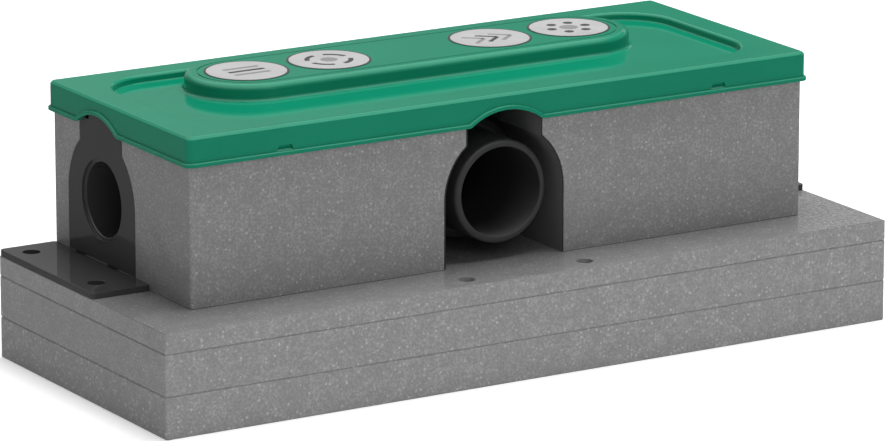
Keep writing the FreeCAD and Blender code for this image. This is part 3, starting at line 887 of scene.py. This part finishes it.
def label_disc(name, figure):
    low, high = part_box(name)
    x = (low.x + high.x) / 2
    form = bmesh.new()
    profile = [(0.0, label_seat), (label_radius, label_seat), (label_radius, film_top - ink_height),
               (label_radius - ink_height, film_top), (label_radius - label_rim, film_top), (0.0, film_top)]
    rim = lathe(form, profile, lambda a, b, z: (x + a, drain_y + b, z))[1:-1]
    for strip in rim:
        for face in strip:
            face.material_index = ink
    figure(form, x)
    bmesh.ops.recalc_face_normals(form, faces=form.faces)
    disc = new_piece(name + "_print", form, label_prints[0])
    for material in label_prints[1:]:
        disc.data.materials.append(material)
    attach(disc, "lid")
    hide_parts(name)


label_disc("label_outer_left", three_bars)
label_disc("label_inner_left", four_arcs)
label_disc("label_inner_right", three_chevrons)
label_disc("label_outer_right", ring_of_dots)

# Studio floor: a wide round sheet of pale matt paint that the base stands on, not part of the object.
# It glows a little, more so where the camera looks at it, and glossy pieces mirror it as a dim grey.
floor_radius = 8.0
floor_sides = 64
floor_grey = (0.72, 0.72, 0.72, 1.0)
floor_roughness = 0.9
floor_glow = 0.1
floor_camera_glow = 0.25
floor_mirrored = (0.2, 0.2, 0.2, 1.0)
white = (1.0, 1.0, 1.0, 1.0)
floor_mesh = bpy.data.meshes.new("floor")
floor_form = bmesh.new()
bmesh.ops.create_circle(floor_form, cap_ends=True, segments=floor_sides, radius=floor_radius)
floor_form.to_mesh(floor_mesh)
floor_form.free()
floor = bpy.data.objects.new("floor", floor_mesh)
bpy.context.scene.collection.objects.link(floor)
floor_paint, floor_tree, floor_shader = new_material("floor_paint")
floor_shader.inputs["Base Color"].default_value = floor_grey
floor_shader.inputs["Roughness"].default_value = floor_roughness
floor_shader.inputs["Specular IOR Level"].default_value = 0.0
floor_shader.inputs["Emission Color"].default_value = white
rays = place(floor_tree, "ShaderNodeLightPath", {})
glow = combine(floor_tree, "MULTIPLY_ADD", rays.outputs["Is Camera Ray"], floor_camera_glow, floor_glow)
floor_tree.links.new(glow, floor_shader.inputs["Emission Strength"])
dimmed = place(floor_tree, "ShaderNodeEmission", {"Color": floor_mirrored})
mixed = place(floor_tree, "ShaderNodeMixShader",
              {0: rays.outputs["Is Glossy Ray"], 1: floor_shader.outputs[0], 2: dimmed.outputs[0]})
floor_tree.links.new(mixed.outputs[0], floor_tree.nodes["Material Output"].inputs["Surface"])
floor_mesh.materials.append(floor_paint)

# Studio light: a plain white sky and two large softboxes, one above and one in front to the left.
# Glossy pieces mirror the sky but not the softboxes. They see it brightest in one broad strip,
# darker to both sides, with a bright crown overhead and a low bright band on the right.
sky_light = 0.24
sweep_span = (0.38, 0.56)
sweep_level = (0.375, 0.09)
fade_span = (-0.1, 0.3)
fade_share = (0.4, 1.0)
crown_span = (0.35, 0.8)
crown_level = (0.0, 1.2)
lean_span = (0.52, 0.8)
lean_share = (1.0, 0.2)
band_start = (0.54, 0.552)
band_level = (0.0, 0.45)
band_foot = (0.231, 0.239)
band_top = (0.3, 0.36)
world = bpy.data.worlds.new("studio")
bpy.context.scene.world = world
world.use_nodes = True
sky_tree = world.node_tree
sky = sky_tree.nodes["Background"]
sky.inputs["Color"].default_value = white
sky_rays = place(sky_tree, "ShaderNodeLightPath", {})
sky_way = place(sky_tree, "ShaderNodeTexCoord", {}).outputs["Generated"]
sky_split = place(sky_tree, "ShaderNodeSeparateXYZ", {"Vector": sky_way})
rightward, upward = sky_split.outputs["X"], sky_split.outputs["Z"]
sweep = combine(sky_tree, "MULTIPLY", remap(sky_tree, rightward, sweep_span, sweep_level),
                remap(sky_tree, rightward, fade_span, fade_share))
crown = combine(sky_tree, "MULTIPLY", remap(sky_tree, upward, crown_span, crown_level),
                remap(sky_tree, rightward, lean_span, lean_share))
band = combine(sky_tree, "MULTIPLY", remap(sky_tree, upward, band_foot),
               remap(sky_tree, upward, band_top, unit_fall))
mirrored_sky = combine(sky_tree, "MULTIPLY_ADD", remap(sky_tree, rightward, band_start, band_level), band,
                       combine(sky_tree, "ADD", sweep, crown))
sky_level = place(sky_tree, "ShaderNodeMix",
                  {"Factor": sky_rays.outputs["Is Glossy Ray"], "A": sky_light, "B": mirrored_sky})
sky_tree.links.new(sky_level.outputs["Result"], sky.inputs["Strength"])
centre = Vector((0.0, 0.0, 0.065))


def softbox(name, size, power, where):
    lamp = bpy.data.lights.new(name, "AREA")
    lamp.shape = "SQUARE"
    lamp.size = size
    lamp.energy = power
    light = bpy.data.objects.new(name, lamp)
    light.location = where
    light.visible_glossy = False
    light.rotation_euler = (centre - Vector(where)).to_track_quat("-Z", "Y").to_euler()
    bpy.context.scene.collection.objects.link(light)


softbox("top_softbox", size=1.5, power=73.0, where=(0.38, 0.08, 2.2))
softbox("front_softbox", size=1.6, power=14.5, where=(-0.65, -2.2, 1.25))

# Camera: a long lens that looks at the drain from the front left and a little from above.
# Its shift is small, only as much as the framing of the picture needs.
camera_way = Vector((-0.5024, -0.8282, 0.2485)).normalized()
camera_distance = 2.87606
camera_data = bpy.data.cameras.new("camera")
camera_data.sensor_width = 36.0
camera_data.lens = 245.285
camera_data.shift_x = -0.0055
camera_data.shift_y = -0.0154
camera = bpy.data.objects.new("camera", camera_data)
camera.location = centre + camera_way * camera_distance
camera.rotation_euler = camera_way.to_track_quat("Z", "Y").to_euler()
bpy.context.scene.collection.objects.link(camera)
bpy.context.scene.camera = camera
bpy.context.scene.view_settings.view_transform = "Standard"
